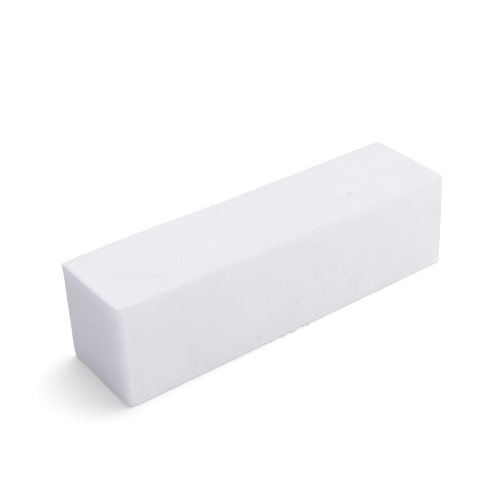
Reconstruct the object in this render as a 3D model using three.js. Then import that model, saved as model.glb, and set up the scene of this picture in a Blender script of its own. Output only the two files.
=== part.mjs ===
/**
 * Nail buffer block: a soft white foam bar with an abrasive coat on its four long faces and bare cut ends.
 *
 * Units are millimetres. +X runs along the bar, -Y is the front face and +Z is up.
 * The origin is the centre of the underside, on which the block rests.
 *
 * Each long face carries two layers: a resin bond coat that grips the foam, and an abrasive grit coat on
 * top of it. The top and bottom faces are coated first and trimmed flush with the foam's sides. The front
 * and back faces are coated next, so their layers also cover the edges of the first two coats, and their
 * own long edges are rounded. The bar is then cut to length, which leaves the foam and the edges of all
 * eight layers bare at both ends.
 */
import * as THREE from 'three';

// Driving dimensions
const BLOCK_LENGTH = 95;
const BLOCK_WIDTH = 25;
const BLOCK_HEIGHT = 26;
const BOND_THICKNESS = 0.25;
const GRIT_THICKNESS = 0.25;
const EDGE_ARC_SEGMENTS = 4;

// Derived dimensions
const COAT_THICKNESS = BOND_THICKNESS + GRIT_THICKNESS;
const EDGE_RADIUS = COAT_THICKNESS;
const CORE_WIDTH = BLOCK_WIDTH - 2 * COAT_THICKNESS;
const CORE_HEIGHT = BLOCK_HEIGHT - 2 * COAT_THICKNESS;

// The two layers of a coat, as distances out from the foam face that carries them
const LAYERS = {
  bond_coat: { inner: 0, outer: BOND_THICKNESS },
  grit_coat: { inner: BOND_THICKNESS, outer: COAT_THICKNESS },
};

const FINISHES = {
  foam: { color: 0xf1eff6, roughness: 0.95, metalness: 0 },
  bond_coat: { color: 0xe3e1e8, roughness: 0.7, metalness: 0 },
  grit_coat: { color: 0xeeecf2, roughness: 0.9, metalness: 0 },
};

/** Makes a sub-part's mesh, with a material of its own. */
function namedMesh(name, geometry, finish) {
  const mesh = new THREE.Mesh(geometry, new THREE.MeshStandardMaterial(FINISHES[finish]));
  mesh.name = name;
  return mesh;
}

/** The foam bar, centred on the origin, which all the layers are built up on. */
function foamCore() {
  const geometry = new THREE.BoxGeometry(BLOCK_LENGTH, CORE_WIDTH, CORE_HEIGHT);
  return namedMesh('foam_core', geometry, 'foam');
}

/** One layer over the core's top or bottom face: a sheet as wide as the foam. side is +1 or -1 along Z. */
function flushLayer(name, kind, side) {
  const { inner, outer } = LAYERS[kind];
  const geometry = new THREE.BoxGeometry(BLOCK_LENGTH, CORE_WIDTH, outer - inner);
  const layer = namedMesh(`${name}_${kind}`, geometry, kind);
  layer.position.z = side * (CORE_HEIGHT + inner + outer) / 2;
  return layer;
}

/**
 * The cross-section of a layer over the core's side, with distance out from the core as x and height as y.
 * Its two ends lie on the round of the block's long edges, whose centres are on the core's corners.
 */
function coveringSection({ inner, outer }) {
  const innerAngle = Math.acos(inner / EDGE_RADIUS);
  const outerAngle = Math.acos(outer / EDGE_RADIUS);
  const cornerHeight = CORE_HEIGHT / 2;
  const section = new THREE.Shape();
  section.absarc(0, cornerHeight, EDGE_RADIUS, innerAngle, outerAngle, true);
  section.absarc(0, -cornerHeight, EDGE_RADIUS, -outerAngle, -innerAngle, true);
  section.closePath();
  return section;
}

/** One layer over the core's front or back face, as high as the block. side is +1 or -1 along Y. */
function coveringLayer(name, kind, side) {
  const geometry = new THREE.ExtrudeGeometry(coveringSection(LAYERS[kind]), {
    depth: BLOCK_LENGTH,
    bevelEnabled: false,
    curveSegments: EDGE_ARC_SEGMENTS,
  });
  const outwards = new THREE.Vector3(0, 1, 0);
  const upwards = new THREE.Vector3(0, 0, 1);
  const lengthways = new THREE.Vector3(1, 0, 0);
  geometry.applyMatrix4(new THREE.Matrix4().makeBasis(outwards, upwards, lengthways));
  geometry.translate(-BLOCK_LENGTH / 2, CORE_WIDTH / 2, 0);
  const layer = namedMesh(`${name}_${kind}`, geometry, kind);
  layer.rotation.z = side > 0 ? 0 : Math.PI;
  return layer;
}

const block = new THREE.Group();
block.name = 'nail_buffer_block';
block.position.z = BLOCK_HEIGHT / 2;
block.add(foamCore());
for (const kind of Object.keys(LAYERS)) {
  block.add(flushLayer('top', kind, 1));
  block.add(flushLayer('bottom', kind, -1));
  block.add(coveringLayer('front', kind, -1));
  block.add(coveringLayer('back', kind, 1));
}

export default block;
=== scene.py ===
"""Looks of the nail buffer block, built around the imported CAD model. Lengths are in metres."""

import math

import bpy
import numpy as np
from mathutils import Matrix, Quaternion, Vector, noise


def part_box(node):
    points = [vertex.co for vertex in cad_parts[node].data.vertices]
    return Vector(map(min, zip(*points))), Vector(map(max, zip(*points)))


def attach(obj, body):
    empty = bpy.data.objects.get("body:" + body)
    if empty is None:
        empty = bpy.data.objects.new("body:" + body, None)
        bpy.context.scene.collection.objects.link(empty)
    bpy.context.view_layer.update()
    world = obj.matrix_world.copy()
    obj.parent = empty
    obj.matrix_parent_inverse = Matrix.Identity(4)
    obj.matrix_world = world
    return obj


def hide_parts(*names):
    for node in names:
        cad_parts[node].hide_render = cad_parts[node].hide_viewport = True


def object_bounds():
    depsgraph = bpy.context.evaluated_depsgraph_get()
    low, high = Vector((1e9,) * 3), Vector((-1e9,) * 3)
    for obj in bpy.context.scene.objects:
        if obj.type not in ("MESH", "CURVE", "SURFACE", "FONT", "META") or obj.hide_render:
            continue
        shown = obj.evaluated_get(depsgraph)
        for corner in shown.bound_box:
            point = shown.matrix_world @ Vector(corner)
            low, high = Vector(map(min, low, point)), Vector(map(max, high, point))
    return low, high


MM = 0.001
X, Y, Z = range(3)


def corners(box):
    """A box's lowest and highest corners as arrays."""
    return [np.array(corner) for corner in box]


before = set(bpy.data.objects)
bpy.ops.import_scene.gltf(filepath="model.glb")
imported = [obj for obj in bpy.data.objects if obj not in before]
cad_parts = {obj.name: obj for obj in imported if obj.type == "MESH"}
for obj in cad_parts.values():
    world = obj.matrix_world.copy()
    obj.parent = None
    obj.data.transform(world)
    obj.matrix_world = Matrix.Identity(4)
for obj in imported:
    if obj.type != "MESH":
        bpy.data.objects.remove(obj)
cad_low, cad_high = corners(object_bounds())
centre = (cad_low + cad_high) / 2
half_size = (cad_high - cad_low) / 2

# ---------------------------------------------------------------- driving values

# How far the edges' rounding reaches along X, Y and Z: at the underside, up the sides and at the top.
# The left end's values turn evenly into the right end's, and one height's into the next over ROUNDING_BLEND
LEFT_ROUNDING = np.array(((1.2, 1.3, 0.5), (1.2, 1.3, 0.55), (1.0, 0.6, 0.7))) * MM
RIGHT_ROUNDING = np.array(((0.4, 0.4, 0.15), (0.4, 0.4, 0.7), (1.0, 0.5, 1.0))) * MM
ROUNDING_BLEND = 3 * MM

# Wavy faces, sides that spread towards the underside, and a low swelling at the top's back edge, whose
# place and reach along X and Y are shares of the half size
WAVE_HEIGHT = 0.1 * MM
WAVE_LENGTH = 30 * MM
FLARE = 0.25 * MM
SWELL_HEIGHT = 0.4 * MM
SWELL_PLACE = np.array((-0.62, 0.9))
SWELL_REACH = np.array((0.4, 0.7))

# The right end is cut a little long and askew, further out at the back and at the foot. The top rises to it
RIGHT_CUT_SHIFT = 0.85 * MM
RIGHT_CUT_SKEW = np.array((0, 0.6, -0.3)) * MM
RIGHT_TOP_RISE = 0.25 * MM

# How far corners are rubbed back, by their side along X, Y and Z
CORNER_WEAR = {
    (-1, -1, -1): 0.25 * MM,
    (-1, 1, -1): 0.4 * MM,
    (1, 1, -1): 0.4 * MM,
    (1, 1, 1): 0.1 * MM,
}
CORNER_REACH = 1.5 * MM

# Dents and burrs: start and end as shares of the half size, then the reach and the push in mm
FLAWS = (
    ((-1.0, -0.93, 1.0), (-0.94, -0.96, 1.0), 0.3, (0, -0.05, 0.2)),
    ((-1.0, -1.0, 0.96), (-0.96, -1.0, 0.97), 0.3, (0, 0.15, 0)),
    ((-1.0, 0.77, 1.0), (-0.96, 0.84, 1.0), 0.28, (0, 0, 0.14)),
    ((-0.98, 0.92, 1.0), (-0.97, 0.95, 1.0), 0.6, (0, 0, -0.16)),
    ((-1.0, 0.50, -0.97), (-1.0, 0.32, -0.98), 0.5, (0.2, 0, 0.1)),
    ((-1.0, 0.12, -0.97), (-1.0, 0.05, -0.98), 0.35, (0.15, 0, 0.1)),
    ((-0.4, -1.0, -0.99), (-0.38, -1.0, -0.99), 0.3, (0, -0.2, 0)),
    ((-0.17, -1.0, -0.99), (-0.16, -1.0, -0.99), 0.25, (0, -0.22, 0)),
    ((-0.10, -1.0, -0.99), (-0.09, -1.0, -0.98), 0.3, (0, -0.26, 0)),
    ((-0.04, -1.0, -0.98), (-0.02, -1.0, -0.99), 0.25, (0, -0.32, 0)),
    ((0.02, -1.0, -0.99), (0.03, -1.0, -0.99), 0.28, (0, 0.2, 0.1)),
    ((0.06, -1.0, -0.98), (0.07, -1.0, -0.99), 0.3, (0, -0.36, 0)),
)

# Crumbled edges: most at the underside and least at the top
CRUMBLE_HEIGHT = 0.16 * MM
CRUMBLE_LENGTH = 0.9 * MM
CRUMBLE_REACH = 0.5 * MM
TOP_CRUMBLE = 0.15

# Relief of the abrasive coats and of the cut foam
RELIEF_LENGTH = 0.35 * MM
COAT_RELIEF = 0.035 * MM
FOAM_RELIEF = 0.025 * MM

# Seeds: of the smooth noise, where the waves take 1, 2 and 3, and of how a piece's points stray, where the
# four long faces add 0 to 3. NOISE_STEP is how far the noise moves on from one seed to the next
RELIEF_SEED = 4
CRUMBLE_SEED = 5
NOISE_STEP = np.array((17.3, 5.1, 9.7))
FOAM_SEED = 1
BOND_SEED = 10
GRIT_SEED = 20

# Meshes: the spacing of their points, which is coarse along a piece that shows only at its two ends, apart
# from the rims there. Points stray a little along their face, but not within STRAY_DEPTH of its edge
FINE_SPACING = 0.25 * MM
COARSE_SPACING = 4 * MM
RIM = 2 * MM
STRAY = 0.07 * MM
STRAY_DEPTH = 0.6 * MM

# How far each layer keeps from the plane where it meets the next, and how near the outside the skin lies
LAYER_GAP = 0.003 * MM
SKIN_DEPTH = 1.5 * LAYER_GAP

# Linear colours, and the fine textures: the widths and the bump of cells and grains, and faint clouds
FOAM_COLOUR = (0.636, 0.619, 0.684)
BOND_COLOUR = (0.715, 0.7065, 0.742)
GRIT_COLOUR = (0.732, 0.7235, 0.7605)
CELL_WIDTH = 0.28 * MM
CELL_BUMP = 0.03 * MM
GRAIN_WIDTH = 0.16 * MM
GRAIN_BUMP = 0.02 * MM
FOAM_CLOUD_WIDTH = 7 * MM
COAT_CLOUD_WIDTH = 9 * MM
SPECULAR = 0.15

# The smooth noise's usual values, and the distances, in cell widths, from a cell's middle to its wall
NOISE_RANGE = (0.3, 0.7)
CELL_RANGE = (0.1, 0.7)

# Painted light: pale rims painted into the colour by the edges, for light that soaks through the foam, and
# at the
# foot for floor light: axis and side, depth and strength. The foam's are fainter at the right end, which
# faces the light
FOAM_PAINTED_RIMS = ((Y, -1, 4 * MM, 0.2), (Z, 1, 2.5 * MM, 0.13))
COAT_PAINTED_RIMS = ((X, -1, 0.6 * MM, 0.15), (Z, 1, 3.5 * MM, 0.06), (Z, -1, 1.5 * MM, 0.08))
RIGHT_PAINTED_RIMS = 0.3

# Dark specks in the coats: place as a share of the half size, radius, and brightness against the coat
SPECKS = (
    ((0.475, -0.41, 1.0), 0.9 * MM, 0.86),
    ((0.0, -1.0, -0.38), 0.5 * MM, 0.82),
    ((-0.25, -1.0, -0.77), 0.6 * MM, 0.79),
    ((0.06, -1.0, -0.95), 0.45 * MM, 0.55),
    ((0.31, 1.0, 0.22), 0.6 * MM, 0.74),
    ((-0.52, 1.0, -0.41), 0.5 * MM, 0.76),
    ((-0.21, 0.44, -1.0), 0.6 * MM, 0.74),
)

# The share of a speck's radius that is fully dark
SPECK_CORE = 0.2

# Light. Directions are an azimuth and an elevation in degrees
WHITE = (1, 1, 1, 1)
FILL_STRENGTH = 0.56
BACKDROP_STRENGTH = 1.2
KEY_STRENGTH = 1.76
KEY_DIRECTION = (98, 68)
KEY_BREADTH = 50
FRONT_FILL_POWER = 0.175
FRONT_FILL_DIRECTION = (42, 9)
FRONT_FILL_DISTANCE = 300 * MM
FRONT_FILL_SIZE = 120 * MM
FLOOR_SIZE = 8
FLOOR_WHITE = 0.97
FLOOR_STRENGTH = 0.09

# Camera: its focal length in mm, the point it looks at, and where it stands from there
FOCAL_LENGTH = 76.5
AIM = Vector((-1.9, 3.3, 15.7)) * MM
CAMERA_DIRECTION = (-35.5, 31.3)
CAMERA_ROLL = -2.4
CAMERA_DISTANCE = 258.8 * MM
NEAREST_SEEN = 10 * MM


# ---------------------------------------------------------------- geometry

def spaced(low, high, step=FINE_SPACING):
    """Evenly spaced values from low to high, no further apart than step."""
    return np.linspace(low, high, math.ceil((high - low) / step) + 1)


def graded(low, high):
    """Values from low to high, fine in the rims at both ends and coarse between."""
    first = spaced(low, low + RIM)
    middle = spaced(low + RIM, high - RIM, COARSE_SPACING)
    last = spaced(high - RIM, high)
    return np.concatenate((first, middle[1:-1], last))


def lattice_box(xs, ys, zs):
    """The outside of a box cut into cells at the given coordinates, as points and quads facing out."""
    counts = (len(xs), len(ys), len(zs))
    outside = np.ones(counts, bool)
    outside[1:-1, 1:-1, 1:-1] = False
    index = np.zeros(counts, int)
    index[outside] = np.arange(outside.sum())
    points = np.stack(np.meshgrid(xs, ys, zs, indexing="ij"), -1)[outside]
    quads = []
    for axis in (X, Y, Z):
        for end in (0, -1):
            face = np.take(index, end, axis)
            squares = np.stack((face[:-1, :-1], face[1:, :-1], face[1:, 1:], face[:-1, 1:]), -1)
            facing_out = (axis == Y) != (end == -1)
            quads.append(squares.reshape(-1, 4)[:, :: 1 if facing_out else -1])
    return points, np.concatenate(quads)


def lumps(points, length, seed):
    """Smooth noise from -1 to 1 in space, with lumps about length across."""
    places = points / length + seed * NOISE_STEP
    return np.array([noise.noise(place) for place in places.tolist()])


def lengths(vectors):
    """The vectors' lengths as a column, never quite zero so that they can divide."""
    return np.maximum(np.linalg.norm(vectors, axis=1, keepdims=True), 1e-30)


def bell(distance, reach):
    """1 at no distance, 1/e at reach, and falling to nothing beyond."""
    return np.exp(-((distance / reach) ** 2))


def edge_radii(points):
    """How far the edges' rounding reaches along X, Y and Z, at each point's place along and up the block."""
    heights = (cad_low[Z], cad_low[Z] + ROUNDING_BLEND, cad_high[Z] - ROUNDING_BLEND, cad_high[Z])
    rows = [0, 1, 1, 2]
    left, right = (
        np.stack([np.interp(points[:, Z], heights, column) for column in table[rows].T], 1)
        for table in (LEFT_ROUNDING, RIGHT_ROUNDING)
    )
    rightness = (points[:, X:Y] - cad_low[X]) / (cad_high[X] - cad_low[X])
    return left + (right - left) * rightness


def core_and_beyond(points):
    """The nearest points that no rounding reaches, how far beyond as shares of the radii, and the radii."""
    local = points - centre
    radii = edge_radii(points)
    inner = half_size - radii
    core = np.clip(local, -inner, inner)
    return core, (local - core) / radii, radii


def rounded(points):
    """Bends the edges of the perfect box over, and all that lies under them."""
    core, beyond, radii = core_and_beyond(points)
    depth = np.abs(beyond).max(1, keepdims=True)
    return core + beyond * depth / lengths(beyond) * radii + centre


def outward(points):
    """The directions in which the rounded box faces, the same for the points of two layers that meet."""
    _, beyond, radii = core_and_beyond(points)
    slopes = beyond / radii
    return slopes / lengths(slopes)


def worn(points):
    """Moves points of the perfect box to the real block's shape."""
    share = (points - centre) / half_size
    rightness, upness = np.maximum(share[:, [X, Z]], 0).T
    shaped = rounded(points)
    for axis, weight in enumerate((share[:, X], share[:, Y], upness)):
        shaped[:, axis] += weight * WAVE_HEIGHT * lumps(points, WAVE_LENGTH, axis + 1)
    shaped[:, X] += rightness * (RIGHT_CUT_SHIFT + share @ RIGHT_CUT_SKEW)
    shaped[:, Y] += FLARE * share[:, Y] * (1 - share[:, Z]) / 2
    shaped[:, Z] += RIGHT_TOP_RISE * rightness * upness
    swell = bell((share[:, :Z] - SWELL_PLACE) / SWELL_REACH, 1).prod(1)
    shaped[:, Z] += SWELL_HEIGHT * upness * swell
    for side, wear in CORNER_WEAR.items():
        corner = centre + half_size * side
        closeness = bell(lengths(points - corner), CORNER_REACH)
        shaped -= wear * closeness * np.array(side) / math.sqrt(3)
    for start_share, end_share, reach, push in FLAWS:
        start = centre + half_size * start_share
        span = centre + half_size * end_share - start
        along = np.clip((points - start) @ span / (span @ span), 0, 1)
        distance = lengths(points - start - along[:, None] * span)
        shaped += bell(distance, reach * MM) * np.array(push) * MM
    return shaped


def crumble(points):
    """How far crumbled edges stand out or in. Points are near an edge where they are near two faces."""
    depth = np.sort(half_size - np.abs(points - centre), 1)
    closeness = bell(depth[:, 0] + depth[:, 1], CRUMBLE_REACH)
    amount = np.interp(points[:, Z], (cad_low[Z], cad_high[Z]), (1, TOP_CRUMBLE))
    return amount * closeness * CRUMBLE_HEIGHT * lumps(points, CRUMBLE_LENGTH, CRUMBLE_SEED)


def surface_normals(points, quads, skin):
    """The normals of the points marked in skin, from the quads between them only. The others get zero."""
    outer = quads[skin[quads].all(1)]
    a, b, c, d = points[outer].transpose(1, 0, 2)
    across = np.cross(c - a, d - b)
    normals = np.zeros_like(points)
    for column in outer.T:
        np.add.at(normals, column, across)
    return normals / lengths(normals)


def new_piece(name, points, quads, relief, material, seed):
    """
    Makes a piece from points and quads of the perfect box. Its skin, the points on the block's outside,
    gets relief of the given height. It is shaded without the faces inside the block, so a layer's edge
    doesn't look like an edge of the block.
    """
    depth = half_size - np.abs(points - centre)
    outside = depth < SKIN_DEPTH
    skin = outside.any(1)
    stray = np.random.default_rng(seed).uniform(-STRAY, STRAY, points.shape)
    stray[outside] = 0
    stray[~skin | (np.sort(depth, 1)[:, 1] < STRAY_DEPTH)] = 0
    points = points + stray
    shaped = worn(points)
    heights = relief * lumps(points, RELIEF_LENGTH, RELIEF_SEED) + crumble(points)
    shaped += outward(points) * (heights * skin)[:, None]
    mesh = bpy.data.meshes.new(name)
    mesh.from_pydata(shaped.tolist(), [], quads.tolist())
    mesh.shade_smooth()
    mesh.normals_split_custom_set_from_vertices(surface_normals(shaped, quads, skin).tolist())
    mesh.materials.append(material)
    piece = bpy.data.objects.new(name, mesh)
    bpy.context.scene.collection.objects.link(piece)
    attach(piece, "root")
    return piece


# ---------------------------------------------------------------- materials

def add_node(tree, kind, inputs=(), **settings):
    """Adds a node. inputs gives sockets, by name or number, their values or the sockets that feed them."""
    node = tree.nodes.new("ShaderNode" + kind)
    for name, value in settings.items():
        setattr(node, name, value)
    for socket, value in dict(inputs).items():
        if isinstance(value, bpy.types.NodeSocket):
            tree.links.new(value, node.inputs[socket])
        else:
            node.inputs[socket].default_value = value
    return node


def new_material(name, roughness):
    """A matt material, with its node tree, its shader and the position on the object."""
    material = bpy.data.materials.new(name)
    material.use_nodes = True
    tree = material.node_tree
    shader = tree.nodes["Principled BSDF"]
    shader.inputs["Roughness"].default_value = roughness
    shader.inputs["Specular IOR Level"].default_value = SPECULAR
    position = add_node(tree, "TexCoord").outputs["Object"]
    return material, tree, shader, position


def product(tree, first, second):
    """The product of two numbers or colours."""
    return add_node(tree, "VectorMath", {0: first, 1: second}, operation="MULTIPLY").outputs[0]


def between(tree, value, low, high, to_low, to_high):
    """A value mapped smoothly from one range to another."""
    inputs = {"Value": value, "From Min": low, "From Max": high, "To Min": to_low, "To Max": to_high}
    return add_node(tree, "MapRange", inputs, interpolation_type="SMOOTHSTEP").outputs[0]


def clouds(tree, position, width, detail, contrast):
    """A factor that drifts about 1, by contrast either way."""
    inputs = {"Vector": position, "Scale": 1 / width, "Detail": detail}
    noise_value = add_node(tree, "TexNoise", inputs).outputs["Fac"]
    return between(tree, noise_value, *NOISE_RANGE, 1 - contrast, 1 + contrast)


def cells(tree, position, width, middle, wall):
    """Many random cells: the distance to a cell's middle, and a factor from the middle's to the wall's."""
    distance = add_node(tree, "TexVoronoi", {"Vector": position, "Scale": 1 / width}).outputs["Distance"]
    return distance, between(tree, distance, *CELL_RANGE, middle, wall)


def painted_rim_light(tree, position, rims, share=1.0):
    """A factor of 1 deep in a face, which rises towards the rims' sides by their strengths times share, as
    painted light.
    """
    parts = add_node(tree, "SeparateXYZ", {0: position}).outputs
    total = 0.0
    for axis, side, reach, strength in rims:
        edge = float(centre[axis] + side * half_size[axis])
        offset = add_node(tree, "Math", {0: parts[axis], 1: edge}, operation="SUBTRACT").outputs[0]
        scaled = add_node(tree, "Math", {0: offset, 1: side / reach}, operation="MULTIPLY").outputs[0]
        closeness = add_node(tree, "Math", {0: scaled}, operation="EXPONENT").outputs[0]
        inputs = {0: closeness, 1: strength, 2: total}
        total = add_node(tree, "Math", inputs, operation="MULTIPLY_ADD").outputs[0]
    return add_node(tree, "Math", {0: total, 1: share, 2: 1.0}, operation="MULTIPLY_ADD").outputs[0]


def specks(tree, position, colour):
    """A colour, darker in a few small specks."""
    for place, radius, shade in SPECKS:
        inputs = {0: position, 1: tuple(centre + half_size * place)}
        distance = add_node(tree, "VectorMath", inputs, operation="DISTANCE").outputs["Value"]
        colour = product(tree, colour, between(tree, distance, SPECK_CORE * radius, radius, shade, 1))
    return colour


def bump(tree, shader, height, distance, invert=False):
    """Bumps that stand as high as distance where height is 1, or as deep if inverted."""
    node = add_node(tree, "Bump", {"Height": height, "Distance": distance}, invert=invert)
    tree.links.new(node.outputs[0], shader.inputs["Normal"])


def foam():
    """Fine closed cells, cut open: deeper and painted darker inside the cells as painted shade, cloudy on
    the whole, with painted light at the rims.
    """
    material, tree, shader, position = new_material("foam", roughness=1.0)
    # Painted shade: the cells' deeper middles are painted darker
    height, shade = cells(tree, position, CELL_WIDTH, middle=0.95, wall=1.02)
    cloud = clouds(tree, position, FOAM_CLOUD_WIDTH, detail=3, contrast=0.015)
    x = add_node(tree, "SeparateXYZ", {0: position}).outputs["X"]
    # Painted light: paler rims by the front and top edges, fainter towards the right end
    painted_rim = painted_rim_light(tree, position, FOAM_PAINTED_RIMS, share=between(tree, x, cad_low[X], cad_high[X], 1, RIGHT_PAINTED_RIMS))
    colour = product(tree, product(tree, shade, cloud), product(tree, painted_rim, FOAM_COLOUR))
    tree.links.new(colour, shader.inputs["Base Color"])
    bump(tree, shader, height, CELL_BUMP)
    return material


def coat(name, colour, roughness, contrast):
    """A film of resin and fine grains, paler and higher on the grains, with a few dark specks and painted
    light at the rims.
    """
    material, tree, shader, position = new_material(name, roughness)
    depth, shade = cells(tree, position, GRAIN_WIDTH, middle=1 + contrast, wall=1 - contrast)
    cloud = clouds(tree, position, COAT_CLOUD_WIDTH, detail=4, contrast=0.012)
    # Painted light: paler rims by the left end, the top edges and the foot
    painted_rim = painted_rim_light(tree, position, COAT_PAINTED_RIMS)
    plain = product(tree, product(tree, shade, cloud), product(tree, painted_rim, colour))
    tree.links.new(specks(tree, position, plain), shader.inputs["Base Color"])
    bump(tree, shader, depth, GRAIN_BUMP, invert=True)
    return material


# ---------------------------------------------------------------- pieces

def foam_bar(material):
    """The soft core, which shows only at the two cut ends."""
    low, high = corners(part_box("foam_core"))
    ys = spaced(low[Y] + LAYER_GAP, high[Y] - LAYER_GAP)
    zs = spaced(low[Z] + LAYER_GAP, high[Z] - LAYER_GAP)
    points, quads = lattice_box(graded(low[X], high[X]), ys, zs)
    piece = new_piece("foam_bar", points, quads, FOAM_RELIEF, material, FOAM_SEED)
    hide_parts("foam_core")


def coat_layer(side, kind, across, material, seed):
    """
    The bond or grit layer of one long face, of which across is the thin way. The front and back layers
    also cover the edges of the top and bottom layers, whose bonds show only at the two cut ends.
    """
    node = f"{side}_{kind}_coat"
    low, high = corners(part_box(node))
    if across == Y:
        low[Z] = cad_low[Z]
        high[Z] = cad_high[Z]
    low[across] += LAYER_GAP
    high[across] -= LAYER_GAP
    shows_at_ends_only = kind == "bond" and across == Z
    xs = graded(low[X], high[X]) if shows_at_ends_only else spaced(low[X], high[X])
    points, quads = lattice_box(xs, spaced(low[Y], high[Y]), spaced(low[Z], high[Z]))
    piece = new_piece(f"{side}_{kind}", points, quads, COAT_RELIEF, material, seed)
    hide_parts(node)


foam_bar(foam())
bond_material = coat("bond", BOND_COLOUR, roughness=0.8, contrast=0.01)
grit_material = coat("grit", GRIT_COLOUR, roughness=0.95, contrast=0.03)
for number, (side, across) in enumerate((("top", Z), ("bottom", Z), ("front", Y), ("back", Y))):
    coat_layer(side, "bond", across, bond_material, BOND_SEED + number)
    coat_layer(side, "grit", across, grit_material, GRIT_SEED + number)


# ---------------------------------------------------------------- stage

def direction(azimuth, elevation):
    """The unit vector towards an azimuth and elevation in degrees. Azimuth 0 is the front, 90 the right."""
    a = math.radians(azimuth)
    e = math.radians(elevation)
    return Vector((math.sin(a) * math.cos(e), -math.cos(a) * math.cos(e), math.sin(e)))


def aimed(name, data, target, back, distance=1):
    """An object at a distance from target in the direction back, which looks or shines at the target."""
    item = bpy.data.objects.new(name, data)
    item.location = target + back * distance
    item.rotation_mode = "QUATERNION"
    item.rotation_quaternion = back.to_track_quat("Z", "Y")
    bpy.context.scene.collection.objects.link(item)
    return item


def background(tree, strength):
    """A white glow all around."""
    inputs = {"Color": WHITE, "Strength": strength}
    return add_node(tree, "Background", inputs).outputs[0]


def studio_world():
    """White surroundings, which look brighter than the light that they give."""
    world = bpy.data.worlds.new("studio")
    bpy.context.scene.world = world
    world.use_nodes = True
    tree = world.node_tree
    tree.nodes.clear()
    seen = add_node(tree, "LightPath").outputs["Is Camera Ray"]
    inputs = {0: seen, 1: background(tree, FILL_STRENGTH), 2: background(tree, BACKDROP_STRENGTH)}
    surface = add_node(tree, "MixShader", inputs).outputs[0]
    add_node(tree, "OutputWorld", {"Surface": surface})


def studio_floor():
    """A white floor, lit a little from within, like a photographer's light table."""
    bpy.ops.mesh.primitive_plane_add(size=FLOOR_SIZE)
    floor = bpy.context.object
    floor.name = "floor"
    material, _, shader, _ = new_material("floor", roughness=1.0)
    shader.inputs["Base Color"].default_value = (FLOOR_WHITE, FLOOR_WHITE, FLOOR_WHITE, 1)
    shader.inputs["Emission Color"].default_value = WHITE
    shader.inputs["Emission Strength"].default_value = FLOOR_STRENGTH
    floor.data.materials.append(material)


def studio_lights():
    """A broad, high key light from the right, and a small, low one from the front right."""
    key = bpy.data.lights.new("key", "SUN")
    key.energy = KEY_STRENGTH
    key.angle = math.radians(KEY_BREADTH)
    aimed("key", key, Vector(centre), direction(*KEY_DIRECTION))
    front_fill = bpy.data.lights.new("front_fill", "AREA")
    front_fill.energy = FRONT_FILL_POWER
    front_fill.size = FRONT_FILL_SIZE
    aimed("front_fill", front_fill, Vector(centre), direction(*FRONT_FILL_DIRECTION), FRONT_FILL_DISTANCE)


def camera():
    """The camera, in front of the left end and above, with the picture turned a little."""
    data = bpy.data.cameras.new("camera")
    data.lens = FOCAL_LENGTH
    data.clip_start = NEAREST_SEEN
    eye = aimed("camera", data, AIM, direction(*CAMERA_DIRECTION), CAMERA_DISTANCE)
    eye.rotation_quaternion @= Quaternion((0, 0, 1), math.radians(CAMERA_ROLL))
    bpy.context.scene.camera = eye


studio_floor()
studio_world()
studio_lights()
camera()
bpy.context.scene.view_settings.view_transform = "Standard"
